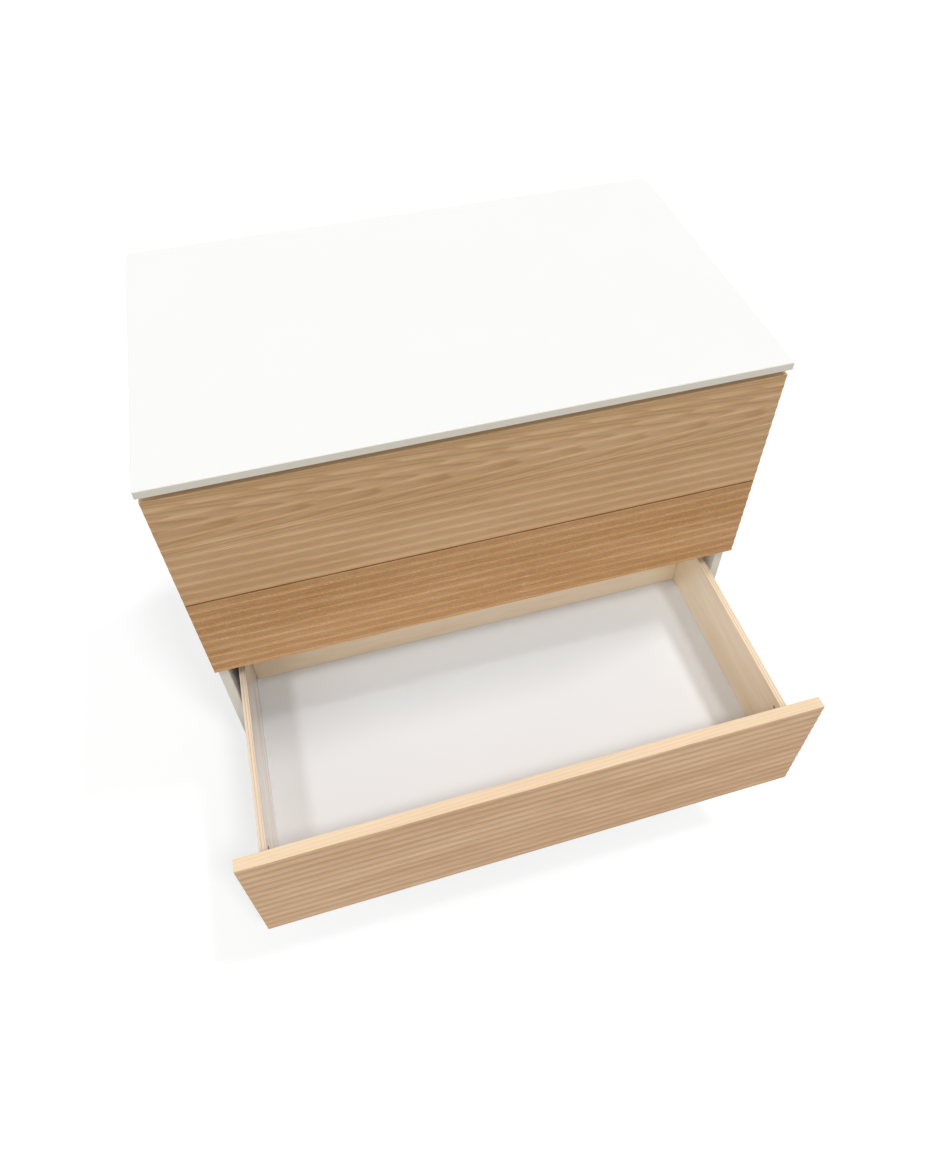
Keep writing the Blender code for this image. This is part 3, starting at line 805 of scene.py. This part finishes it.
@dataclass
class Ripples:
    """The milled face of the drawer fronts: sizes in metres, shared by all three.

    The cutter wanders up and down a little and cuts unevenly deep, each by a slow noise along its
    stroke. A ripple is painted palest where it faces up, some degrees of its wave above the crest,
    and painted darker on its underside: painted light and shade.
    """

    pitch: float = 0.0217
    depth: float = 0.0011
    wander: float = 0.0006
    uneven: float = 0.12
    stroke: float = 0.12
    painted_pale_lead_deg: float = 60.0
    column: float = 0.006
    rows_per_ripple: int = 16
    groove_depth: float = 0.006
    groove_fit: float = 0.0003
    arris: float = 0.0012

    def __post_init__(self) -> None:
        """Build the tree that all fronts share."""
        self.tree = self.front_tree()

    def front_tree(self) -> bpy.types.NodeTree:
        """Build the tree that mills a rippled front and cuts the groove behind it.

        Returns:
            The geometry node tree.
        """
        tree, given = new_tree("rippled_front", {
            "Size": "Vector", "Columns": "Int", "Rows": "Int", "Pitch": "Float", "Depth": "Float",
            "Valley": "Float", "First Crest": "Float", "Painted Lit Band": "Float", "Wander": "Float",
            "Uneven": "Float", "Stroke": "Float", "Seed": "Float", "Groove Size": "Vector",
            "Groove Place": "Vector", "Middle": "Vector", "Finish": "Material",
        })
        sizes = given.outputs
        board = add_node(tree, "GeometryNodeMeshCube", {
            "Size": sizes["Size"], "Vertices X": sizes["Columns"],
            "Vertices Y": 2, "Vertices Z": sizes["Rows"],
        })
        place = add_node(tree, "ShaderNodeSeparateXYZ", {0: add_node(tree, "GeometryNodeInputPosition")})
        extent = add_node(tree, "ShaderNodeSeparateXYZ", {0: sizes["Size"]})
        top = add_node(tree, "ShaderNodeMath", {0: extent.outputs["Z"], 1: 0.5}, operation="MULTIPLY")
        drop = add_node(tree, "ShaderNodeMath", {0: top, 1: place.outputs["Z"]}, operation="SUBTRACT")

        # Two slow noises, counted in strokes along and ripples down: the cutter's drift and its effort
        along = add_node(tree, "ShaderNodeMath", {
            0: place.outputs["X"], 1: sizes["Stroke"],
        }, operation="DIVIDE")
        down = add_node(tree, "ShaderNodeMath", {0: drop, 1: sizes["Pitch"]}, operation="DIVIDE")
        noises = []
        for lane, scale, detail, (low, high), most in (
            (0.0, 1.0, 2.0, (0.25, 0.75), 1.0),
            (7.0, 0.7, 1.0, NOISE_SPAN, 0.0),
        ):
            spot = add_node(tree, "ShaderNodeCombineXYZ", {0: along, 1: lane, 2: down})
            noise = add_node(tree, "ShaderNodeTexNoise", {
                "Vector": spot, "W": sizes["Seed"], "Scale": scale, "Detail": detail,
            }, noise_dimensions="4D")
            noises.append(add_node(tree, "ShaderNodeMapRange", {
                0: noise, FROM_MIN: low, FROM_MAX: high, TO_MIN: -1.0, TO_MAX: most,
            }))
        drift, effort = noises

        # A ripple falls from its crest to its valley and rises to the next crest, each half a cosine
        shift = add_node(tree, "ShaderNodeMath", {0: drift, 1: sizes["Wander"]}, operation="MULTIPLY")
        from_crest = add_node(tree, "ShaderNodeMath", {
            0: drop, 1: sizes["First Crest"],
        }, operation="SUBTRACT")
        wandered = add_node(tree, "ShaderNodeMath", {0: from_crest, 1: shift}, operation="ADD")
        turns = add_node(tree, "ShaderNodeMath", {0: wandered, 1: sizes["Pitch"]}, operation="DIVIDE")
        share = add_node(tree, "ShaderNodeMath", {0: turns}, operation="FRACT")
        falling, rising = (
            add_node(tree, "ShaderNodeMapRange", {
                0: share, FROM_MIN: start, FROM_MAX: end, TO_MAX: math.pi,
            })
            for start, end in ((0.0, sizes["Valley"]), (sizes["Valley"], 1.0))
        )
        phase = add_node(tree, "ShaderNodeMath", {0: falling, 1: rising}, operation="ADD")
        wave = add_node(tree, "ShaderNodeMath", {0: phase}, operation="COSINE")
        hollow = add_node(tree, "ShaderNodeMapRange", {0: wave, FROM_MIN: 1.0, FROM_MAX: -1.0})
        # Painted light and shade: the upward flank is drawn pale and the underside dark, led some degrees
        # ahead of the crest
        ahead = add_node(tree, "ShaderNodeMath", {
            0: phase, 1: math.radians(self.painted_pale_lead_deg),
        }, operation="ADD")
        ahead_wave = add_node(tree, "ShaderNodeMath", {0: ahead}, operation="COSINE")
        painted_shade_share = add_node(tree, "ShaderNodeMapRange", {
            0: ahead_wave, FROM_MIN: 1.0, FROM_MAX: sizes["Painted Lit Band"],
        })
        effort_share = add_node(tree, "ShaderNodeMath", {
            0: effort, 1: sizes["Uneven"], 2: 1.0,
        }, operation="MULTIPLY_ADD")
        full_cut = add_node(tree, "ShaderNodeMath", {0: hollow, 1: sizes["Depth"]}, operation="MULTIPLY")
        cut_depth = add_node(tree, "ShaderNodeMath", {0: full_cut, 1: effort_share}, operation="MULTIPLY")

        # The finish reads two attributes of the face, one of them the painted shade of the undersides,
        # and then the face is cut back
        in_front = add_node(tree, "FunctionNodeCompare", {
            0: place.outputs["Y"], 1: 0.0,
        }, operation="LESS_THAN")
        shaded = add_node(tree, "GeometryNodeStoreNamedAttribute", {
            "Geometry": board, "Name": "painted_shade_share", "Value": painted_shade_share, "Selection": in_front,
        }, data_type="FLOAT", domain="POINT")
        normal = add_node(tree, "ShaderNodeSeparateXYZ", {0: add_node(tree, "GeometryNodeInputNormal")})
        forward = add_node(tree, "FunctionNodeCompare", {
            0: normal.outputs["Y"], 1: -FACING,
        }, operation="LESS_THAN")
        marked = add_node(tree, "GeometryNodeStoreNamedAttribute", {
            "Geometry": shaded, "Name": "ripple_face", "Value": forward,
        }, data_type="FLOAT", domain="FACE")
        milled = add_node(tree, "GeometryNodeSetPosition", {
            "Geometry": marked, "Selection": in_front,
            "Offset": add_node(tree, "ShaderNodeCombineXYZ", {1: cut_depth}),
        })
        groove = add_node(tree, "GeometryNodeTransform", {
            "Geometry": add_node(tree, "GeometryNodeMeshCube", {"Size": sizes["Groove Size"]}),
            "Translation": sizes["Groove Place"],
        })
        grooved = add_node(tree, "GeometryNodeMeshBoolean", {
            "Mesh 1": milled, "Mesh 2": groove,
        }, operation="DIFFERENCE", solver="EXACT")
        standing = add_node(tree, "GeometryNodeTransform", {
            "Geometry": grooved, "Translation": sizes["Middle"],
        })
        real = add_node(tree, "GeometryNodeRealizeInstances", {0: standing})
        dressed = add_node(tree, "GeometryNodeSetMaterial", {"Geometry": real, "Material": sizes["Finish"]})
        add_node(tree, "NodeGroupOutput", {0: dressed})
        return tree

    def mill(self, front: str, tray: str, cut: Cut, finish: bpy.types.Material) -> bpy.types.Mesh:
        """Mill one front in the place of its CAD node.

        Args:
            front: CAD node of the front.
            tray: CAD node of the drawer bottom that enters the groove.
            cut: How the ripples lie on this front.
            finish: Material of the front.

        Returns:
            The mesh, in its place.
        """
        low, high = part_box(front)
        tray_low, tray_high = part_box(tray)
        size = high - low
        middle = (low + high) / 2
        fit = self.groove_fit
        groove_low = Vector((tray_low.x - fit, high.y - self.groove_depth, tray_low.z - fit))
        groove_high = Vector((tray_high.x + fit, high.y + self.groove_depth, tray_high.z + fit))
        return run_tree(self.tree, bpy.data.meshes.new(front), {
            "Size": size, "Columns": round(size.x / self.column) + 1,
            "Rows": round(size.z / self.pitch * self.rows_per_ripple) + 1,
            "Pitch": self.pitch, "Depth": self.depth, "Valley": cut.valley,
            "First Crest": cut.first_crest, "Painted Lit Band": cut.painted_lit_band, "Wander": self.wander,
            "Uneven": self.uneven, "Stroke": self.stroke, "Seed": cut.seed,
            "Groove Size": groove_high - groove_low,
            "Groove Place": (groove_low + groove_high) / 2 - middle,
            "Middle": middle, "Finish": finish,
        }, self.arris)


def slide_spots(low: Vector, high: Vector, web: float, facing: int) -> list[Spot]:
    """Find where the screws of one slide member sit.

    Args:
        low: Lowest corner of the member.
        high: Highest corner of the member.
        web: X of the board that the member is screwed to.
        facing: Sign of the direction that the heads face along X.

    Returns:
        Place and direction of each head.
    """
    step = (high.y - low.y - 2 * SLIDE_SCREW_MARGIN) / (SLIDE_SCREWS - 1)
    first = low.y + SLIDE_SCREW_MARGIN
    middle = (low.z + high.z) / 2
    return [
        (Vector((web + facing * SEAT, first + step * index, middle)), Vector((facing, 0, 0)))
        for index in range(SLIDE_SCREWS)
    ]


@dataclass
class Drawer:
    """One drawer: its rippled front, its plywood box and the fasteners that hold them."""

    body: str
    wood: OiledHardwood
    slot: str
    cut: Cut
    nut_back: float = 0.038
    nut_drop: float = 0.023
    nut_rise: float = 0.030
    screw_drop: float = 0.018

    def build_front(self, ripples: Ripples) -> None:
        """Mill the front and show it in place of its CAD node.

        Args:
            ripples: The cutter that mills it.
        """
        front = f"{self.body}_front"
        mesh = ripples.mill(front, f"{self.body}_bottom", self.cut, self.wood.make())
        new_piece(f"{self.body}_rippled_front", mesh, self.body, [front])

    def dress_box(self, tray: bpy.types.Material) -> None:
        """Give the box its plywood and its white bottom.

        Args:
            tray: Finish of the bottom.
        """
        for board, across, veneer in (
            ("left_side", Axis.X, GREY_VENEER), ("right_side", Axis.X, {}), ("back", Axis.Y, {}),
        ):
            node = f"{self.body}_{board}"
            low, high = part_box(node)
            first, last = low[across.value], high[across.value]
            plywood = BirchPlywood(f"birch_plywood_{node}", across, first, last - first, **veneer)
            dress_nodes(plywood.make(), node)
        dress_nodes(tray, f"{self.body}_bottom")

    def set_fasteners(
        self, kit: FastenerKit, steel: bpy.types.Material, dark: bpy.types.Material,
    ) -> None:
        """Set the nuts behind the front, the screws at the back corners and the slide screws.

        Args:
            kit: Maker of the heads.
            steel: Finish of the screws.
            dark: Finish of the barrel nuts.
        """
        nuts, corners, slide_screws = [], [], []
        back_low, back_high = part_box(f"{self.body}_back")
        back_middle = (back_low.y + back_high.y) / 2
        for side in Side:
            name = f"{self.body}_{side.name.lower()}"
            sign = side.value
            low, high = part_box(f"{name}_side")
            inner, outer = (high.x, low.x) if side is Side.LEFT else (low.x, high.x)
            for z in (high.z - self.nut_drop, low.z + self.nut_rise):
                spot = Vector((inner - sign * SEAT, low.y + self.nut_back, z))
                nuts.append((spot, Vector((-sign, 0, 0))))
            for z in (high.z - self.screw_drop, low.z + self.screw_drop):
                corners.append((Vector((outer + sign * SEAT, back_middle, z)), Vector((sign, 0, 0))))
            low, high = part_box(f"{name}_slide_inner")
            web = high.x if side is Side.LEFT else low.x
            slide_screws += slide_spots(low, high, web, sign)
        kit.place(f"{self.body}_barrel_nuts", Head.BARREL, nuts, self.body, dark)
        kit.place(f"{self.body}_corner_screws", Head.CORNER, corners, self.body, steel)
        kit.place(f"{self.body}_slide_screws", Head.SLIDE, slide_screws, self.body, steel)


@dataclass
class Carcass:
    """The white case with its slides' fixed members."""

    panels: tuple[str, ...] = (
        "top_panel", "left_side_panel", "right_side_panel", "bottom_panel", "back_panel",
        "front_top_rail", "rear_top_rail",
    )
    back_screw_inset: float = 0.010
    back_screws_across: int = 5
    back_screws_up: int = 4

    def dress(self, lacquer: bpy.types.Material, steel: bpy.types.Material) -> None:
        """Give the panels their lacquer and the slides their zinc.

        Args:
            lacquer: Finish of the panels.
            steel: Finish of all slide members.
        """
        dress_nodes(lacquer, *self.panels)
        dress_nodes(steel, *(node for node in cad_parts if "_slide_" in node))

    def set_fasteners(self, kit: FastenerKit, steel: bpy.types.Material) -> None:
        """Set the screws round the back panel and those of the fixed slide members.

        Args:
            kit: Maker of the heads.
            steel: Finish of the screws.
        """
        low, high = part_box("back_panel")
        inset = Vector((self.back_screw_inset, 0, self.back_screw_inset))
        first, last = low + inset, high - inset
        columns, rows = (
            [start + (end - start) * index / (count - 1) for index in range(count)]
            for start, end, count in (
                (first.x, last.x, self.back_screws_across), (first.z, last.z, self.back_screws_up),
            )
        )
        ends = (columns[0], columns[-1])
        spots = [
            (Vector((x, high.y + SEAT, z)), Vector((0, 1, 0)))
            for x in columns for z in (rows if x in ends else (rows[0], rows[-1]))
        ]
        kit.place("back_panel_screws", Head.PAN, spots, "carcass", steel)
        slide_screws = []
        for node in sorted(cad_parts):
            if node.endswith("_slide_outer"):
                low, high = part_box(node)
                facing = 1 if "_left_" in node else -1
                wall = low.x if facing == 1 else high.x
                slide_screws += slide_spots(low, high, wall, facing)
        kit.place("carcass_slide_screws", Head.SLIDE, slide_screws, "carcass", steel)


@dataclass
class LegSet:
    """Four turned legs with their plates and glides."""

    corners: tuple[str, ...] = ("front_left", "front_right", "rear_left", "rear_right")
    foot_radius: float = 0.015
    rounding: float = 0.002
    bolt_bore: float = 0.0043
    bolt_bore_depth: float = 0.0303
    pin_radius: float = 0.0025
    pin_fit: float = 0.0003
    pin_length: float = 0.012
    plate_screw_inset: float = 0.009
    plate_screw_seat: float = 0.0016
    segments: int = 64
    arc_steps: int = 6
    merge_gap: float = 0.001 * MM

    def arc(self, middle: Pair, radius: float, start: float, end: float) -> Profile:
        """Draw an arc of a profile.

        Args:
            middle: Radius and height of the arc's centre.
            radius: Radius of the arc itself.
            start: First angle, in degrees from straight outwards.
            end: Last angle.

        Returns:
            Radius and height of each point.
        """
        angles = [start + (end - start) * step / self.arc_steps for step in range(self.arc_steps + 1)]
        return [
            (middle[0] + radius * math.cos(math.radians(a)), middle[1] + radius * math.sin(math.radians(a)))
            for a in angles
        ]

    def leg_profile(self, low: Vector, high: Vector) -> Profile:
        """Draw the outline of a leg, bored for its bolt and for the pin of its glide.

        Args:
            low: Lowest corner of the leg.
            high: Highest corner of the leg.

        Returns:
            Radius and height of each point, from pole to pole.
        """
        top_radius = (high.x - low.x) / 2
        pin_bore = self.pin_radius + self.pin_fit
        pin_end = low.z + self.pin_length
        bore_end = high.z - self.bolt_bore_depth
        return [
            (0.0, pin_end), (pin_bore, pin_end), (pin_bore, low.z),
            *self.arc((self.foot_radius - self.rounding, low.z + self.rounding), self.rounding, -90, 0),
            *self.arc((top_radius - self.rounding, high.z - self.rounding), self.rounding, 0, 90),
            (self.bolt_bore, high.z), (self.bolt_bore, bore_end), (0.0, bore_end),
        ]

    def glide_profile(self, low: Vector, high: Vector) -> Profile:
        """Draw the outline of a glide: a disc with a rounded foot, and the pin above it.

        Args:
            low: Lowest corner of the glide.
            high: Highest corner of the glide.

        Returns:
            Radius and height of each point, from pole to pole.
        """
        radius = (high.x - low.x) / 2
        disc = high.z - self.pin_length
        rounding = disc / 2
        return [
            (0.0, low.z),
            *self.arc((radius - rounding, low.z + rounding), rounding, -90, 0),
            (radius, disc), (self.pin_radius, disc), (self.pin_radius, high.z), (0.0, high.z),
        ]

    def lathe(
        self, name: str, profile: Profile, centre: Vector, finish: bpy.types.Material,
    ) -> bpy.types.Mesh:
        """Turn a profile into a smooth closed mesh.

        Args:
            name: Name of the mesh.
            profile: Radius and height of each point, from one pole to the other.
            centre: Foot of the axis.
            finish: Material of the piece.

        Returns:
            The mesh, in its place.
        """
        bm = bmesh.new()
        verts = [bm.verts.new((centre.x + r, centre.y, centre.z + z)) for r, z in profile]
        edges = [bm.edges.new(pair) for pair in zip(verts, verts[1:])]
        bmesh.ops.spin(
            bm, geom=verts + edges, cent=centre, axis=(0, 0, 1), angle=math.tau, steps=self.segments,
        )
        bmesh.ops.remove_doubles(bm, verts=bm.verts, dist=self.merge_gap)
        bmesh.ops.recalc_face_normals(bm, faces=bm.faces)
        mesh = bpy.data.meshes.new(name)
        bm.to_mesh(mesh)
        bm.free()
        mesh.shade_smooth()
        mesh.set_sharp_from_angle(angle=SHARP_ANGLE)
        mesh.materials.append(finish)
        return mesh

    def build(
        self, kit: FastenerKit, wood: bpy.types.Material, steel: bpy.types.Material,
        nylon: bpy.types.Material,
    ) -> None:
        """Turn the legs and glides, and set the screws of the plates.

        Args:
            kit: Maker of the screw heads.
            wood: Finish of the legs.
            steel: Finish of the plates, bolts and screws.
            nylon: Finish of the glides.
        """
        screws = []
        for corner in self.corners:
            leg, glide, plate = f"{corner}_leg", f"{corner}_leg_glide", f"{corner}_leg_plate"
            low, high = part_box(leg)
            centre = Vector(((low.x + high.x) / 2, (low.y + high.y) / 2, 0.0))
            mesh = self.lathe(leg, self.leg_profile(low, high), centre, wood)
            new_piece(f"{corner}_turned_leg", mesh, "carcass", [leg])
            mesh = self.lathe(glide, self.glide_profile(*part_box(glide)), centre, nylon)
            new_piece(f"{corner}_glide", mesh, "carcass", [glide])
            dress_nodes(steel, plate, f"{corner}_leg_bolt")
            low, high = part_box(plate)
            inset = self.plate_screw_inset
            for x in (low.x + inset, high.x - inset):
                for y in (low.y + inset, high.y - inset):
                    spot = Vector((x, y, low.z + self.plate_screw_seat))
                    screws.append((spot, Vector((0, 0, -1))))
        kit.place("leg_plate_screws", Head.COUNTERSUNK, screws, "carcass", steel)


@dataclass(frozen=True)
class Lamp:
    """One broad lamp.

    The share is the part of a white surface's full light that the lamp gives when it faces the lamp.
    The turn is measured from straight in front of the chest, to the right. A lamp that isn't
    mirrored leaves no gleam on shiny surfaces.
    """

    name: str
    share: float
    height_deg: float
    turn_deg: float
    spread_deg: float
    mirrored: bool = True


# The two side lamps stand for one long soft light. The back lamp grazes the top without lighting
# it, and keeps the back of the chest from going dark.
LAMPS = (
    Lamp("lamp_left", 0.191, 58.5, -45.3, 8.0),
    Lamp("lamp_right", 0.219, 61.4, 27.1, 7.5),
    Lamp("lamp_side_front", 0.150, 64.8, 85.1, 7.0),
    Lamp("lamp_side_rear", 0.150, 64.6, 99.7, 7.0),
    Lamp("lamp_fill", 0.200, 28.0, -50.0, 60.0),
    Lamp("lamp_back", 0.200, 2.5, 180.0, 4.0, mirrored=False),
)


@dataclass
class Studio:
    """Plain pale floor, soft light from the front and the right, and the photograph's camera."""

    camera_place: Point = (-0.2541, -1.0372, 1.7699)
    camera_turn_deg: Point = (41.5396, -0.1883, -16.3182)
    focal_px: float = 878.24
    axis_px: Pair = (497.58, 512.32)
    sensor_mm: float = 36.0
    floor_size: float = 30.0
    floor_gap: float = 0.0002
    floor_bounce: str = "#949494"
    floor_shaded: str = "#CBCBCB"
    floor_glow: float = 0.50
    sky_strength: float = 0.345

    def build(self) -> None:
        """Set up the floor, the light and the camera."""
        scene = bpy.context.scene
        scene.view_settings.view_transform = "Standard"
        self.build_floor(scene)
        self.build_sky(scene)
        for lamp in LAMPS:
            self.hang_lamp(scene, lamp)
        self.build_camera(scene)

    def seen_directly(self, tree: bpy.types.NodeTree) -> bpy.types.Node:
        """Tell what is looked at from what only lights the chest.

        Args:
            tree: Node tree of the floor or the sky.

        Returns:
            A node that is 1 for what the camera, a mirror or a glass shows, and 0 for bounced light.
        """
        path = add_node(tree, "ShaderNodeLightPath").outputs
        mirrored = add_node(tree, "ShaderNodeMath", {
            0: path["Is Glossy Ray"], 1: path["Is Transmission Ray"],
        }, operation="MAXIMUM")
        return add_node(tree, "ShaderNodeMath", {
            0: path["Is Camera Ray"], 1: mirrored,
        }, operation="MAXIMUM")

    def build_floor(self, scene: bpy.types.Scene) -> None:
        """Make the floor: white to the eye, with little light thrown back at the chest.

        Args:
            scene: Scene that takes the floor.
        """
        half = self.floor_size / 2
        level = -self.floor_gap
        mesh = bpy.data.meshes.new("studio_floor")
        mesh.from_pydata(
            [(-half, -half, level), (half, -half, level), (half, half, level), (-half, half, level)],
            [], [(0, 1, 2, 3)],
        )
        material, shader = new_material("studio_floor")
        tree = material.node_tree
        seen = self.seen_directly(tree)
        colour = add_node(tree, "ShaderNodeMix", {
            0: seen, MIX_A: linear(self.floor_bounce), MIX_B: linear(self.floor_shaded),
        }, data_type="RGBA")
        glow = add_node(tree, "ShaderNodeMapRange", {0: seen, TO_MAX: self.floor_glow})
        wire(tree, shader, {
            "Base Color": colour.outputs[MIX_RESULT], "Roughness": 1.0, "Specular IOR Level": 0.0,
            "Emission Color": linear(WHITE), "Emission Strength": glow,
        })
        mesh.materials.append(material)
        floor = bpy.data.objects.new("studio_floor", mesh)
        scene.collection.objects.link(floor)

    def build_sky(self, scene: bpy.types.Scene) -> None:
        """Light the chest evenly from all round, in front of a white background.

        Args:
            scene: Scene that takes the sky.
        """
        world = bpy.data.worlds.new("studio_sky")
        world.use_nodes = True
        tree = world.node_tree
        strength = add_node(tree, "ShaderNodeMapRange", {
            0: self.seen_directly(tree), TO_MIN: self.sky_strength,
        })
        wire(tree, tree.nodes["Background"], {"Color": linear(WHITE), "Strength": strength})
        scene.world = world

    def hang_lamp(self, scene: bpy.types.Scene, lamp: Lamp) -> None:
        """Hang one broad lamp, far enough away to light the whole chest alike.

        Args:
            scene: Scene that takes the lamp.
            lamp: Strength and place of the lamp.
        """
        light = bpy.data.lights.new(lamp.name, "SUN")
        light.energy = lamp.share * math.pi
        light.angle = math.radians(lamp.spread_deg)
        height = math.radians(lamp.height_deg)
        turn = math.radians(lamp.turn_deg)
        towards = Vector((
            math.cos(height) * math.sin(turn), -math.cos(height) * math.cos(turn), math.sin(height),
        ))
        holder = bpy.data.objects.new(lamp.name, light)
        holder.rotation_euler = towards.to_track_quat("Z", "Y").to_euler()
        holder.visible_glossy = lamp.mirrored
        scene.collection.objects.link(holder)

    def build_camera(self, scene: bpy.types.Scene) -> None:
        """Stand the camera where the photograph was taken from.

        Args:
            scene: Scene that takes the camera.
        """
        camera = bpy.data.cameras.new("photo_camera")
        long_side = max(PHOTO_WIDTH, PHOTO_HEIGHT)
        camera.sensor_width = self.sensor_mm
        camera.lens = self.focal_px / long_side * self.sensor_mm
        camera.shift_x = (PHOTO_WIDTH / 2 - self.axis_px[0]) / long_side
        camera.shift_y = (self.axis_px[1] - PHOTO_HEIGHT / 2) / long_side
        holder = bpy.data.objects.new("photo_camera", camera)
        holder.location = self.camera_place
        holder.rotation_euler = [math.radians(angle) for angle in self.camera_turn_deg]
        scene.collection.objects.link(holder)
        scene.camera = holder


def main() -> None:
    """Build and dress the chest, piece by piece, and set it in the studio."""
    logging.basicConfig(level=logging.INFO, format="%(name)s: %(message)s")
    lacquer, tray, steel, dark = (finish.make() for finish in (LACQUER, MELAMINE, ZINC, DARK_STEEL))
    kit = FastenerKit()
    ripples = Ripples()
    carcass = Carcass()
    carcass.dress(lacquer, steel)
    carcass.set_fasteners(kit, steel)
    LegSet().build(kit, LEG_WOOD.make(), steel, NYLON.make())
    # The third value of each Cut is its painted lit band
    drawers = (
        Drawer("drawer_1", UPPER_WOOD, "hardwood_front_upper", Cut(0.0, 0.66, 0.4, 1.0)),
        Drawer("drawer_2", MIDDLE_WOOD, "hardwood_front_middle", Cut(0.0007, 0.66, 0.0, 2.0)),
        Drawer("drawer_3", LOWER_WOOD, "hardwood_front_lower", Cut(0.0066, 0.5, -1.0, 3.0)),
    )
    for drawer in drawers:
        drawer.build_front(ripples)
        drawer.dress_box(tray)
        drawer.set_fasteners(kit, steel, dark)
    Studio().build()


if __name__ == "__main__":
    main()
